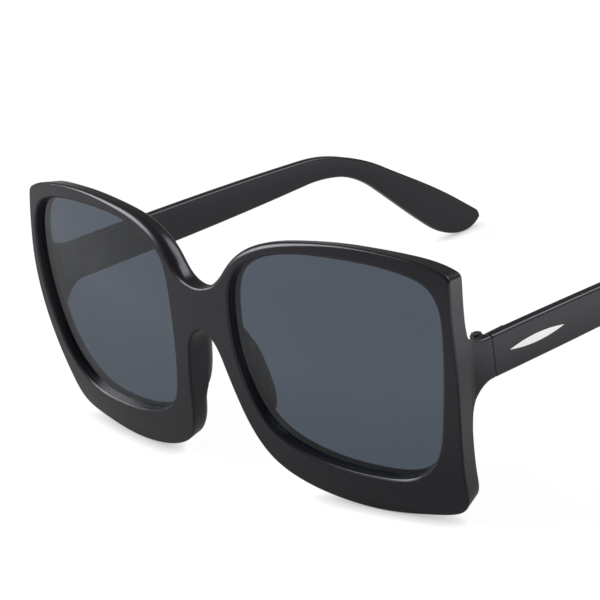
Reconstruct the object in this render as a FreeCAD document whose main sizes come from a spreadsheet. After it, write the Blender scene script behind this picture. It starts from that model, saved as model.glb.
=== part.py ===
"""Oversized square sunglasses, built as an eyewear bench would take them apart.

Millimetres. +X is the wearer's left, +Y runs back along the temples and +Z is up. The origin is
on the table, midway between the foremost line of the front and the ends of the temples. Every
part of the left side is modelled and the right side is its mirror image.
"""
import FreeCAD, Part
import math
import os
import Sketcher
from FreeCAD import Placement, Rotation, Vector

SIZES = (
    # The front and its two lens openings.
    ("bridge_gap", 21.0),
    ("opening_width", 59.4),
    ("opening_height", 52.5),
    ("rim_top", 3.05),
    ("rim_bottom", 9.65),
    ("rim_side", 3.1),
    ("bridge_dip", 15.5),
    ("bridge_height", 10.3),
    ("top_corner_inset", 0.7),
    ("top_corner_drop", 4.5),
    ("low_corner_inset", 5.4),
    ("low_corner_rise", 2.6),
    ("front_thickness", 5.8),
    ("ring_radius", 168.0),
    ("base_radius", 126.0),
    ("crest_height", 39.0),
    ("top_corner_run", 1.6),
    ("low_corner_run", 3.0),
    ("brow_round", 2.6),
    ("brow_back_round", 2.2),
    ("brow_soft_end", 48.0),
    ("edge_round", 0.6),
    ("back_round", 0.9),
    ("opening_bevel", 0.8),
    # Lenses in their grooves.
    ("lens_radius", 200.0),
    ("lens_setback", 2.5),
    ("lens_thickness", 1.8),
    ("groove_depth", 0.9),
    ("fit_gap", 0.12),
    # Nose pads glued behind the rims.
    ("pad_length", 20.0),
    ("pad_width", 5.4),
    ("pad_projection", 2.6),
    ("pad_bevel", 1.5),
    ("pad_lean", 14.0),
    ("pad_height", 30.0),
    ("pad_offset", 9.1),
    # Endpieces and temples.
    ("endpiece_length", 13.0),
    ("endpiece_root", 4.5),
    ("endpiece_fillet_top", 3.0),
    ("endpiece_fillet_low", 4.5),
    ("seam_gap", 0.1),
    ("temple_level", 38.4),
    ("temple_height", 9.7),
    ("temple_thickness", 2.8),
    ("temple_droop", 1.7),
    ("temple_straight", 77.0),
    ("bend_radius", 47.0),
    ("bend_angle", 37.9),
    ("tip_length", 43.7),
    ("waist_distance", 92.0),
    ("waist_height", 4.9),
    ("flare_distance", 140.0),
    ("tip_height", 11.2),
    ("tip_thickness", 2.4),
    ("tip_cap_top", 2.0),
    ("tip_cap_low", 17.0),
    ("temple_chamfer", 0.45),
    ("core_height", 2.4),
    ("core_thickness", 1.1),
    ("core_end_cover", 16.0),
    # Three-knuckle hinges.
    ("axis_inset", 1.8),
    ("knuckle_radius", 1.5),
    ("knuckle_height", 2.4),
    ("knuckle_gap", 0.08),
    ("stack_lift", 0.5),
    ("leaf_thickness", 0.8),
    ("leaf_length", 5.4),
    ("screw_radius", 0.65),
    ("screw_clearance", 0.04),
    ("screw_head_radius", 1.2),
    ("screw_head_height", 0.55),
    ("screw_slot_width", 0.35),
    ("screw_slot_depth", 0.3),
    ("screw_end", 0.3),
    ("rivet_radius", 0.55),
    ("rivet_length", 1.8),
    ("rivet_pitch", 5.0),
    ("rivet_clearance", 0.02),
    # Metal accent let into the outside of each temple.
    ("inlay_length", 18.0),
    ("inlay_width", 1.9),
    ("inlay_depth", 0.5),
    ("inlay_proud", 0.08),
    ("inlay_start", 5.0),
)

# Free-form outlines as ratios. The brow is drawn from the dip of the bridge outwards, its x over
# half the bridge gap and its height over the dip; the crown goes on over the opening width.
BROW = ((0.53, 0.125), (0.87, 0.39), (1.24, 0.62), (1.77, 0.80))
CROWN = ((0.355, 0.96), (0.605, 1.0), (0.83, 0.93))
# The temporal edge goes down from the top corner: inset over the low corner inset, height over top.
TEMPORAL = ((0.07, 0.80), (0.0, 0.655), (0.10, 0.51), (0.43, 0.32), (0.77, 0.155))
# The lower edge comes back under the opening: x over the opening width, height over the rim.
CHIN = ((0.795, 0.13), (0.58, 0.0), (0.37, 0.09), (0.19, 0.38), (0.065, 0.87))
# The nose side climbs to the arch: x over half the bridge gap, height over the arch height.
NOSE = ((1.05, 0.35), (0.77, 0.60), (0.59, 0.79), (0.34, 0.945))
# One lens opening, anticlockwise from the nasal side, over its own width and height.
OPENING = (
    (0.0, 0.692), (0.039, 0.862), (0.155, 0.946), (0.53, 1.0), (0.84, 0.966), (0.951, 0.910),
    (0.982, 0.858), (1.0, 0.721), (0.955, 0.332), (0.894, 0.148), (0.78, 0.035), (0.581, 0.0),
    (0.274, 0.047), (0.114, 0.146), (0.039, 0.31),
)
# Shares of a soft corner's run.
CORNER_SHARES = (0.0, 0.25, 0.5, 0.75, 1.0)
# Flats that stand for a rounded edge in front and behind.
FRONT_FLATS = 3
BACK_FLATS = 2
# The temple: how its taper sets in, and where its end point lies between centre line and top edge.
TAPER_POWER = 1.6
TIP_POINT = 0.75
TEMPLE_STATIONS = 14
CAP_STATIONS = 6

doc = FreeCAD.newDocument("sunglasses")
sheet = doc.addObject("Spreadsheet::Sheet", "Sizes")
for row, (alias, value) in enumerate(SIZES, start=1):
    sheet.set(f"A{row}", alias)
    sheet.set(f"B{row}", str(value))
    sheet.setAlias(f"B{row}", alias)
doc.recompute()


def size(alias):
    """Value of one cell of the sheet."""
    return float(sheet.get(alias))


# Places that follow from the sizes.
half_gap = size("bridge_gap") / 2
half_width = half_gap + size("opening_width") + size("rim_side")
front_top = size("rim_bottom") + size("opening_height") + size("rim_top")
dip_height = front_top - size("bridge_dip")
arch_height = dip_height - size("bridge_height")
wrap_radius = size("ring_radius") + size("base_radius")


def face_depth(x, z):
    """Distance of the front face behind its foremost line at (x, z)."""
    sag = size("base_radius") - math.sqrt(size("base_radius") ** 2 - (z - size("crest_height")) ** 2)
    return wrap_radius - math.sqrt((wrap_radius - sag) ** 2 - x ** 2)


def temple_path(distance):
    """Point and direction of the temple's centre line at a distance from the hinge seam."""
    droop = math.radians(size("temple_droop"))
    bend = math.radians(size("bend_angle"))
    radius = size("bend_radius")
    straight = size("temple_straight")
    arc = radius * (bend - droop)
    along = min(distance, straight)
    y = along * math.cos(droop)
    z = -along * math.sin(droop)
    turn = droop + min(max(distance - straight, 0.0), arc) / radius
    y += radius * (math.sin(turn) - math.sin(droop))
    z -= radius * (math.cos(droop) - math.cos(turn))
    beyond = max(distance - straight - arc, 0.0)
    y += beyond * math.cos(bend)
    z -= beyond * math.sin(bend)
    return y, z, turn


def temple_length():
    """Length of the temple's centre line."""
    turn = math.radians(size("bend_angle") - size("temple_droop"))
    return size("temple_straight") + size("bend_radius") * turn + size("tip_length")


def temple_width(distance):
    """Height of the temple across its centre line: a taper to the waist, then a flared tip."""
    waist = size("waist_distance")
    if distance < waist:
        share = 1 - (distance / waist) ** TAPER_POWER
        return size("waist_height") + (size("temple_height") - size("waist_height")) * share
    flare = min((distance - waist) / (size("flare_distance") - waist), 1.0)
    share = (1 - math.cos(math.pi * flare)) / 2
    return size("waist_height") + (size("tip_height") - size("waist_height")) * share


def temple_edge(distance, side, cap):
    """Point of the upper (side 1) or lower (side -1) edge, swept round to the tip over the cap."""
    y, z, turn = temple_path(distance)
    into_cap = max(distance - (temple_length() - cap), 0.0) / cap
    swept = 1 - math.sqrt(max(1 - into_cap ** 2, 0.0))
    reach = (side + (TIP_POINT - side) * swept) * temple_width(distance) / 2
    return Vector(0, y + reach * math.sin(turn), z + reach * math.cos(turn))


def temple_stations(cap):
    """Distances along one edge of the temple, closer together round its cap."""
    body = temple_length() - cap
    plain = [body * i / TEMPLE_STATIONS for i in range(1, TEMPLE_STATIONS + 1)]
    round_end = [body + cap * math.sin(math.pi / 2 * i / CAP_STATIONS) for i in range(1, CAP_STATIONS)]
    return plain + round_end


def temple_points(inset):
    """Side outline from the top of the seam round the tip and back, moved in by an inset."""
    upper = [temple_edge(s, 1, size("tip_cap_top")) for s in temple_stations(size("tip_cap_top"))]
    lower = [temple_edge(s, -1, size("tip_cap_low")) for s in temple_stations(size("tip_cap_low"))]
    end = temple_edge(temple_length(), 1, size("tip_cap_top"))
    half = size("temple_height") / 2
    start, finish = Vector(0, size("seam_gap"), half), Vector(0, size("seam_gap"), -half)
    full = [start] + upper + [end] + lower[::-1] + [finish]
    moved = [start - Vector(0, 0, inset)]
    for before, point, after in zip(full, full[1:], full[2:]):
        along = (after - before).normalize()
        moved.append(point + Vector(0, along.z, -along.y) * inset)
    return moved + [finish + Vector(0, 0, inset)]


def temple_wire(inset, lean):
    """Wire of the temple's side outline, its plane leaning by a rise in x over each y."""
    points = [Vector(lean * p.y, p.y, p.z) for p in temple_points(inset)]
    droop = math.radians(size("temple_droop"))
    heading = Vector(lean * math.cos(droop), math.cos(droop), -math.sin(droop))
    curve = Part.BSplineCurve()
    curve.interpolate(Points=points, InitialTangent=heading, FinalTangent=-heading)
    return Part.Wire([curve.toShape(), Part.makeLine(points[-1], points[0])])


temple_reach = temple_edge(temple_length(), 1, size("tip_cap_top")).y
seam_depth = face_depth(half_width, size("temple_level")) + size("endpiece_length")
front_y = -(seam_depth + temple_reach) / 2
seam_y = front_y + seam_depth
# The side walls lean in with the wrap, and the temples carry on where they end.
outer_x = half_width * (1 - size("front_thickness") / wrap_radius)
inner_x = outer_x - size("temple_thickness")
axis_x = inner_x - size("axis_inset")
stack_height = 3 * size("knuckle_height") + 2 * size("knuckle_gap")
stack_low = size("temple_level") + size("stack_lift") - stack_height / 2
stack_mid = stack_low + stack_height / 2
front_plane = front_y - size("endpiece_root")
back_plane = seam_y + size("endpiece_root")


def add(kind, name, **values):
    """Document object with properties: text is an expression on the sheet, the rest is a value."""
    item = doc.addObject(kind, name)
    for key, value in values.items():
        if isinstance(value, str):
            item.setExpression(key, value)
        else:
            setattr(item, key, value)
    return item


def place(item, x, y, z, rotation=None):
    """Set an object's placement."""
    item.Placement = Placement(Vector(x, y, z), rotation or Rotation())
    return item


def cut(name, base, tool):
    """Base less the tool."""
    return add("Part::Cut", name, Base=base, Tool=tool)


def fuse(name, *pieces):
    """One solid of several pieces."""
    return add("Part::MultiFuse", name, Shapes=list(pieces), Refine=True)


def common(name, *pieces):
    """What several pieces share."""
    return add("Part::MultiCommon", name, Shapes=list(pieces))


def mirror(item, name):
    """Mirror image on the wearer's right."""
    return add("Part::Mirroring", name, Source=item, Normal=Vector(1, 0, 0), Base=Vector(0, 0, 0))


def face_normal(x, z):
    """Direction square to the front face, towards the wearer."""
    rise = z - size("crest_height")
    inward = math.sqrt(size("base_radius") ** 2 - rise ** 2)
    across = x / (size("ring_radius") + inward)
    return Vector(-inward * across, inward * math.sqrt(1 - across ** 2), -rise).normalize()


def face_point(x, z):
    """Point of the front face."""
    return Vector(x, front_y + face_depth(x, z), z)


def on_wall(point, plane):
    """Where the line through a front-face point, square to the face, meets a plane of constant y."""
    start = face_point(*point)
    normal = face_normal(*point)
    return start + normal * ((plane - start.y) / normal.y)


def knots(points):
    """Chord-length parameters of a closed outline, shared by every copy of it."""
    ring = list(points) + [points[0]]
    steps = [math.dist(a, b) for a, b in zip(ring, ring[1:])]
    return [sum(steps[:i]) for i in range(len(ring))]


def closed_curve(places, points):
    """Smooth closed curve through places that stand for an outline's points."""
    curve = Part.BSplineCurve()
    curve.interpolate(Points=places, PeriodicFlag=True, Parameters=knots(points))
    return curve


def flat_curve(points):
    """Smooth curve through points of an outline, seen from the front."""
    curve = Part.BSplineCurve()
    curve.interpolate([Vector(x, 0, z) for x, z in points])
    return curve


def flipped(points):
    """Points mirrored to the other half, in the opposite order."""
    return [(-x, z) for x, z in reversed(points)]


def over_opening(ratio):
    """X at a share of the left opening's width."""
    return half_gap + ratio * size("opening_width")


top_corner = (half_width - size("top_corner_inset"), front_top - size("top_corner_drop"))
low_corner = (half_width - size("low_corner_inset"), size("low_corner_rise"))
brow_points = [(half_gap * u, dip_height + size("bridge_dip") * w) for u, w in BROW]
crown_points = [(over_opening(u), dip_height + size("bridge_dip") * w) for u, w in CROWN]
upper_half = brow_points + crown_points + [top_corner]
side_points = [(half_width - size("low_corner_inset") * u, front_top * w) for u, w in TEMPORAL]
chin_points = [(over_opening(u), size("rim_bottom") * w) for u, w in CHIN]
nose_points = [(half_gap * u, arch_height * w) for u, w in NOSE]
lower_half = [low_corner] + chin_points + nose_points


def soft_corner(before, after, run):
    """Points of a parabola that touches both curves a run away from the corner where they meet."""
    corner = before.value(before.LastParameter)
    start = corner - before.tangent(before.LastParameter)[0] * run
    end = corner + after.tangent(after.FirstParameter)[0] * run
    places = [
        start * (1 - s) ** 2 + corner * (2 * s * (1 - s)) + end * s ** 2
        for s in CORNER_SHARES
    ]
    return [(p.x, p.z) for p in places]


def front_points():
    """Outer outline of the front, clockwise from the dip of the bridge as the wearer's left leads."""
    brow = flat_curve(flipped(upper_half) + [(0, dip_height)] + upper_half)
    side = flat_curve([top_corner] + side_points + [low_corner])
    chin = flat_curve(lower_half + [(0, arch_height)] + flipped(lower_half))
    left = brow_points + crown_points
    left += soft_corner(brow, side, size("top_corner_run")) + side_points
    left += soft_corner(side, chin, size("low_corner_run")) + chin_points + nose_points
    return [(0, dip_height)] + left + [(0, arch_height)] + flipped(left)


outline_points = front_points()


def front_wire(plane):
    """Outer outline of the front, carried square to the face to a plane."""
    places = [on_wall(p, plane) for p in outline_points]
    return Part.Wire([closed_curve(places, outline_points).toShape()])


def opening_points(grow):
    """Outline of the left lens opening, grown outwards by a distance."""
    flat = [
        Vector(over_opening(u), 0, size("rim_bottom") + size("opening_height") * w)
        for u, w in OPENING
    ]
    curve = Part.BSplineCurve()
    curve.interpolate(Points=flat, PeriodicFlag=True)
    grown = []
    for point in flat:
        tangent = curve.tangent(curve.parameter(point))[0]
        outward = Vector(-tangent.z, 0, tangent.x)
        grown.append(point + outward * grow)
    return [(p.x, p.z) for p in grown]


def opening_wire(grow, plane):
    """The opening's outline, grown by a distance and carried to a plane."""
    points = opening_points(grow)
    return Part.Wire([closed_curve([on_wall(p, plane) for p in points], points).toShape()])


def walls(name, wire_at):
    """Solid between two planes whose walls stand square to the curved front face."""
    near = add("Part::Feature", f"{name}_near", Shape=wire_at(front_plane))
    far = add("Part::Feature", f"{name}_far", Shape=wire_at(back_plane))
    return add("Part::Loft", name, Sections=[near, far], Solid=True, Ruled=True)


def shell(name, depth):
    """Round body bounded by the front face moved back by a depth, given as an expression."""
    ring = add(
        "Part::Torus", name,
        Radius1="Sizes.ring_radius",
        Radius2=f"Sizes.base_radius - ({depth})",
    )
    return place(ring, 0, front_y + wrap_radius, size("crest_height"))


def depth_of(point):
    """Distance of a point behind the front face, square to it."""
    axis_y = front_y + wrap_radius
    ring = math.hypot(point.x, point.y - axis_y) - size("ring_radius")
    return size("base_radius") - math.hypot(ring, point.z - size("crest_height"))


def brow_radius(point, full, plain, start, end):
    """Rounding of the plate's edge at an outline point.

    It is full along the brow up to the start distance from the middle, fades out by the end
    distance, and has its plain value from there on and everywhere below the brow.
    """
    x, z = point
    share = min(max((abs(x) - start) / (end - start), 0.0), 1.0)
    if z < dip_height - size("fit_gap"):
        share = 1.0
    return plain + (full - plain) * (1 + math.cos(math.pi * share)) / 2


def front_radius(point):
    """Front edge: soft over the bridge, fading along the brow to a crisp line."""
    return brow_radius(point, size("brow_round"), size("edge_round"), 0, size("brow_soft_end"))


def back_radius(point):
    """Back edge: soft along the brow, fading out before the temporal corner."""
    corner_start = top_corner[0] - size("top_corner_run")
    return brow_radius(
        point, size("brow_back_round"), size("back_round"), size("brow_soft_end"), corner_start)


def edge_ring(name, radius_at, start, way, flats):
    """Ring to cut from the plate's edge, leaving flats that follow a quarter circle.

    The edge lies at the start depth and the material lies the given way (1 back, -1 forward) from
    it. The radius is looked up for each point of the outline.
    """
    flat = closed_curve([Vector(x, 0, z) for x, z in outline_points], outline_points)
    frames = []
    for point, knot in zip(outline_points, knots(outline_points)):
        normal = face_normal(*point)
        along = flat.tangent(knot)[0]
        along.y = -(along.x * normal.x + along.z * normal.z) / normal.y
        outward = along.cross(normal).normalize()
        frames.append((face_point(*point), outward, normal, radius_at(point)))

    def ring_wire(inset, depth):
        """The outline moved in over the face and down through it, both in radii."""
        places = [
            point - outward * (inset * radius) + normal * (start + way * depth * radius)
            for point, outward, normal, radius in frames
        ]
        return Part.Wire([closed_curve(places, outline_points).toShape()])

    turns = [math.pi / 2 * i / flats for i in range(flats + 1)]
    section = [(1 - math.sin(turn), 1 - math.cos(turn)) for turn in turns]
    # The first and last flats run on past the faces, and one corner outside closes the section.
    shallow = (2 * section[0][0] - section[1][0], 2 * section[0][1] - section[1][1])
    section = [shallow] + section[1:-1] + [shallow[::-1], (-1, -1)]
    wires = [ring_wire(inset, depth) for inset, depth in section]
    faces = []
    for first, second in zip(wires, wires[1:] + wires[:1]):
        faces += Part.makeLoft([first, second], False, True).Faces
    skin = Part.Shell(faces)
    skin.sewShape()
    return add("Part::Feature", name, Shape=Part.Solid(skin))


def bevel_picks(item):
    """The closed edges where the lens openings break through the front face."""
    picks = []
    width = size("opening_bevel")
    for number, edge in enumerate(item.Shape.Edges, start=1):
        middle = edge.valueAt((edge.FirstParameter + edge.LastParameter) / 2)
        on_face = abs(depth_of(middle)) < size("fit_gap")
        if edge.isClosed() and on_face and edge.BoundBox.XLength < half_width:
            picks.append((number, width, width))
    return picks


def lens_ball(name, depth):
    """Ball whose surface is the lens front moved back by a depth, given as an expression."""
    x = over_opening(0.5)
    z = size("rim_bottom") + size("opening_height") / 2
    reach = size("lens_setback") + size("lens_radius")
    centre = face_point(x, z) + face_normal(x, z) * reach
    ball = add("Part::Sphere", name, Radius=f"Sizes.lens_radius - ({depth})")
    return place(ball, centre.x, centre.y, centre.z)


def band(name, grow, start, end):
    """Part of the opening's grown outline between two depths behind the front of the lens."""
    column = walls(f"{name}_column", lambda plane: opening_wire(grow, plane))
    front_side = common(f"{name}_front", column, lens_ball(f"{name}_start", start))
    return cut(name, front_side, lens_ball(f"{name}_end", end))


def point_value(expression):
    """Value of an expression on the sheet."""
    return float(sheet.evalExpression(expression))


def drawn_sketch(body, name, role, corners, arcs=None):
    """Closed sketch on one of the body's planes.

    Corners are pairs of expressions. Arcs maps the number of a side to its radius expression and
    the centre that it turns about, both as expressions; other sides are straight.
    """
    arcs = arcs or {}
    plane = [f for f in body.Origin.OriginFeatures if f.Role == role][0]
    sketch = body.newObject("Sketcher::SketchObject", name)
    sketch.AttachmentSupport = [(plane, "")]
    sketch.MapMode = "FlatFace"
    places = [Vector(point_value(u), point_value(v), 0) for u, v in corners]
    for side, start in enumerate(places):
        end = places[(side + 1) % len(places)]
        if side in arcs:
            radius, centre_u, centre_v, turn = arcs[side]
            centre = Vector(point_value(centre_u), point_value(centre_v), 0)
            circle = Part.Circle(centre, Vector(0, 0, 1), point_value(radius))
            first, last = (start, end) if turn > 0 else (end, start)
            curve = Part.ArcOfCircle(circle, circle.parameter(first), circle.parameter(last))
            sketch.addGeometry(curve)
        else:
            sketch.addGeometry(Part.LineSegment(start, end))
    for side, (u, v) in enumerate(corners):
        previous = (side - 1) % len(corners)
        backwards = side in arcs and arcs[side][3] < 0
        before = previous in arcs and arcs[previous][3] < 0
        here = (side, 2 if backwards else 1)
        sketch.addConstraint(Sketcher.Constraint("Coincident", *here, previous, 1 if before else 2))
        for kind, expression in (("DistanceX", u), ("DistanceY", v)):
            number = sketch.addConstraint(
                Sketcher.Constraint(kind, -1, 1, *here, point_value(expression)))
            sketch.setExpression(f"Constraints[{number}]", expression)
    for side, (radius, _, _, _) in arcs.items():
        number = sketch.addConstraint(Sketcher.Constraint("Radius", side, point_value(radius)))
        sketch.setExpression(f"Constraints[{number}]", radius)
    return sketch


def padded_body(name, role, corners, length, arcs=None):
    """Body with one pad of a closed sketch, its length given as an expression."""
    body = doc.addObject("PartDesign::Body", name)
    sketch = drawn_sketch(body, f"{name}_sketch", role, corners, arcs)
    pad = body.newObject("PartDesign::Pad", f"{name}_pad")
    pad.Profile = sketch
    pad.setExpression("Length", length)
    return body


def endpiece():
    """Lug behind the temporal rim that carries the hinge, flared into the rim above and below."""
    half = "Sizes.temple_height / 2"
    back = "-(Sizes.endpiece_length - Sizes.front_thickness)"
    root = "-(Sizes.endpiece_length - Sizes.endpiece_root)"
    top = "Sizes.endpiece_fillet_top"
    low = "Sizes.endpiece_fillet_low"
    corners = [
        ("0", f"-{half}"), ("0", half),
        (f"{back} + {top}", half), (back, f"{half} + {top}"),
        (root, f"{half} + {top}"), (root, f"-({half} + {low})"),
        (back, f"-({half} + {low})"), (f"{back} + {low}", f"-{half}"),
    ]
    arcs = {
        2: (top, f"{back} + {top}", f"{half} + {top}", -1),
        6: (low, f"{back} + {low}", f"-({half} + {low})", -1),
    }
    body = padded_body("endpiece", "YZ_Plane", corners, "Sizes.temple_thickness", arcs)
    return place(body, inner_x, seam_y, size("temple_level"))


def cylinder(name, radius, height, x, y, z, rotation=None):
    """Round bar from a point, along +Z unless turned, with expressions for its sizes."""
    bar = add("Part::Cylinder", name, Radius=radius, Height=height)
    return place(bar, x, y, z, rotation)


def block(name, length, width, height, x, y, z):
    """Box from its low corner, with expressions for its sizes."""
    return place(add("Part::Box", name, Length=length, Width=width, Height=height), x, y, z)


ALONG_X = Rotation(Vector(0, 1, 0), 90)
leaf_reach = size("axis_inset") + size("leaf_length")
rivet_heights = [stack_mid - size("rivet_pitch") / 2, stack_mid + size("rivet_pitch") / 2]


def rivet_y(side):
    """Y of a leaf's rivets: side -1 on the front, 1 on the temple."""
    return seam_y + side * (size("axis_inset") + size("leaf_length") / 2)


def rivet_holes(name, side):
    """Drilled holes for one leaf's rivets, through the leaf and blind in what it is fixed to."""
    start = inner_x - size("leaf_thickness")
    depth = "Sizes.leaf_thickness + Sizes.rivet_length + Sizes.fit_gap"
    radius = "Sizes.rivet_radius + Sizes.rivet_clearance"
    holes = [
        cylinder(f"{name}_{i}", radius, depth, start, rivet_y(side), z, ALONG_X)
        for i, z in enumerate(rivet_heights)
    ]
    return fuse(name, *holes)


def rivets(name, side):
    """Two rivets that hold one hinge leaf, peened flush with it."""
    face = inner_x - size("leaf_thickness")
    length = "Sizes.leaf_thickness + Sizes.rivet_length"
    pins = [
        cylinder(f"{name}_{i}", "Sizes.rivet_radius", length, face, rivet_y(side), z, ALONG_X)
        for i, z in enumerate(rivet_heights)
    ]
    return add("Part::Compound", name, Links=pins)


def hinge(name, side, knuckles):
    """One half of the hinge: a leaf on the inner face, tabs and knuckles bored for the screw."""
    leaf_y = seam_y - leaf_reach if side < 0 else seam_y + size("axis_inset")
    tab_y = seam_y - size("axis_inset") if side < 0 else seam_y
    tab_x = axis_x + size("knuckle_radius") / 2
    pieces = [block(
        f"{name}_leaf", "Sizes.leaf_thickness", "Sizes.leaf_length",
        "3 * Sizes.knuckle_height + 2 * Sizes.knuckle_gap",
        inner_x - size("leaf_thickness"), leaf_y, stack_low)]
    for number in knuckles:
        z = stack_low + number * (size("knuckle_height") + size("knuckle_gap"))
        pieces.append(cylinder(
            f"{name}_knuckle{number}", "Sizes.knuckle_radius", "Sizes.knuckle_height",
            axis_x, seam_y, z))
        pieces.append(block(
            f"{name}_tab{number}", "Sizes.axis_inset - Sizes.knuckle_radius / 2",
            "Sizes.axis_inset", "Sizes.knuckle_height", tab_x, tab_y, z))
    solid = fuse(f"{name}_solid", *pieces)
    bore = cylinder(
        f"{name}_bore", "Sizes.screw_radius + Sizes.screw_clearance",
        "3 * Sizes.knuckle_height + 2 * Sizes.knuckle_gap", axis_x, seam_y, stack_low)
    bored = cut(f"{name}_bored", solid, bore)
    return cut(name, bored, rivet_holes(f"{name}_holes", side))


def hinge_screw(name):
    """Headed screw down the hinge axis, turned from one profile, with a driver slot."""
    body = doc.addObject("PartDesign::Body", name)
    stack = "(3 * Sizes.knuckle_height + 2 * Sizes.knuckle_gap)"
    top = f"{stack} + Sizes.screw_head_height"
    corners = [
        ("0", "-Sizes.screw_end"), ("Sizes.screw_radius", "-Sizes.screw_end"),
        ("Sizes.screw_radius", stack), ("Sizes.screw_head_radius", stack),
        ("Sizes.screw_head_radius", top), ("0", top),
    ]
    profile = drawn_sketch(body, f"{name}_profile", "XZ_Plane", corners)
    turned = body.newObject("PartDesign::Revolution", f"{name}_turned")
    turned.Profile = profile
    turned.ReferenceAxis = (profile, ["V_Axis"])
    doc.recompute()
    width = "Sizes.screw_slot_width / 2"
    reach = "Sizes.screw_head_radius * 2"
    slot = drawn_sketch(body, f"{name}_slot", "XY_Plane", [
        (f"-{reach}", f"-{width}"), (reach, f"-{width}"), (reach, width), (f"-{reach}", width)])
    slot.setExpression("AttachmentOffset.Base.z", top)
    groove = body.newObject("PartDesign::Pocket", f"{name}_groove")
    groove.Profile = slot
    groove.setExpression("Length", "Sizes.screw_slot_depth")
    return place(body, axis_x, seam_y, stack_low)


def inlay(name, clearance, thickness):
    """Slim leaf-shaped bar, two arcs that meet in points, on the temple's outer face."""
    half = f"(Sizes.inlay_length / 2 + {clearance})"
    width = f"(Sizes.inlay_width + 2 * {clearance})"
    radius = f"(({half}) ^ 2 / {width} + {width} / 4)"
    corners = [(f"-{half}", "0"), (half, "0")]
    arcs = {
        0: (radius, "0", f"{radius} - {width} / 2", 1),
        1: (radius, "0", f"{width} / 2 - {radius}", 1),
    }
    body = padded_body(name, "YZ_Plane", corners, thickness, arcs)
    along = size("inlay_start") + size("inlay_length") / 2
    y, z, turn = temple_path(along)
    lean = Rotation(Vector(1, 0, 0), -math.degrees(turn))
    return place(body, outer_x - size("inlay_depth"), seam_y + y, size("temple_level") + z, lean)


def core_wire(start, end, grow):
    """Side outline of the flat wire in the temple: straight, bent and straight again."""
    straight = size("temple_straight")
    bent = straight + size("bend_radius") * math.radians(size("bend_angle") - size("temple_droop"))
    offset = size("core_height") / 2 + grow

    def side_point(distance, side):
        y, z, turn = temple_path(distance)
        y += side * offset * math.sin(turn)
        z += side * offset * math.cos(turn)
        return Vector(0, y, z)

    def run(side):
        arc = Part.Arc(*[side_point(s, side) for s in (straight, (straight + bent) / 2, bent)])
        first = Part.makeLine(side_point(start, side), side_point(straight, side))
        last = Part.makeLine(side_point(bent, side), side_point(end, side))
        return [first, arc.toShape(), last]

    ends = [Part.makeLine(side_point(s, 1), side_point(s, -1)) for s in (start, end)]
    return Part.Wire(Part.__sortEdges__(run(1) + run(-1) + ends))


def side_extrusion(name, wire, thickness, x):
    """Side outline made solid across the temple, its thickness given as an expression."""
    face = add("Part::Feature", f"{name}_side", Shape=Part.Face(wire))
    place(face, x, seam_y, size("temple_level"))
    solid = add("Part::Extrusion", name, Base=face, Dir=Vector(1, 0, 0), LengthFwd=thickness, Solid=True)
    solid.DirMode = "Custom"
    return solid


def temple_core(name, grow, start, end):
    """Flat wire core, or with a growth the slot that it is shot into."""
    middle = outer_x - size("tip_thickness") / 2
    x = middle - size("core_thickness") / 2 - grow
    thickness = "Sizes.core_thickness" if grow == 0 else "Sizes.core_thickness + 2 * Sizes.fit_gap"
    return side_extrusion(name, core_wire(start, end, grow), thickness, x)


def temple():
    """Temple arm: side outline, thinned towards the tip, edges broken, slotted and recessed."""
    lean = (size("temple_thickness") - size("tip_thickness")) / temple_reach
    broken = size("temple_chamfer")
    layers = [
        ("inner", broken, lean, inner_x), ("inner_full", 0, lean, inner_x + broken),
        ("outer_full", 0, 0, outer_x - broken), ("outer", broken, 0, outer_x),
    ]
    sections = []
    for name, inset, rise, x in layers:
        wire = add("Part::Feature", f"arm_{name}", Shape=temple_wire(inset, rise))
        sections.append(place(wire, x, seam_y, size("temple_level")))
    arm = add("Part::Loft", "arm", Sections=sections, Solid=True, Ruled=True)
    core_end = temple_length() - size("core_end_cover")
    slot = temple_core("core_slot", size("fit_gap"), -size("seam_gap"), core_end + size("fit_gap"))
    recess = inlay("inlay_recess", "Sizes.fit_gap", "Sizes.temple_thickness")
    slotted = cut("slotted_arm", arm, slot)
    recessed = cut("recessed_arm", slotted, recess)
    return cut("left_temple", recessed, rivet_holes("temple_drilling", 1))


def nose_pad():
    """Glued pad: the crescent of a bevelled disc that stands out behind the nasal rim."""
    length, projection = size("pad_length"), size("pad_projection")
    radius = length ** 2 / (8 * projection) + projection / 2
    lean = Rotation(Vector(0, 1, 0), 90 - size("pad_lean"))
    x, z = size("pad_offset"), size("pad_height")
    seat = face_point(x, z) + face_normal(x, z) * size("front_thickness")
    middle = Vector(x, seat.y + projection - radius, z)
    corner = middle - lean.multVec(Vector(0, 0, size("pad_width") / 2))
    disc = cylinder(
        "pad_disc", "Sizes.pad_length ^ 2 / (8 * Sizes.pad_projection) + Sizes.pad_projection / 2",
        "Sizes.pad_width", corner.x, corner.y, corner.z, lean)
    doc.recompute()
    bevel = size("pad_bevel")
    rims = [(i, bevel, bevel) for i, edge in enumerate(disc.Shape.Edges, start=1) if edge.isClosed()]
    soft = add("Part::Chamfer", "pad_soft", Base=disc, Edges=rims)
    behind = shell("pad_seat", "Sizes.front_thickness + Sizes.fit_gap / 2")
    return common("left_nose_pad", soft, behind)


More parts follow.
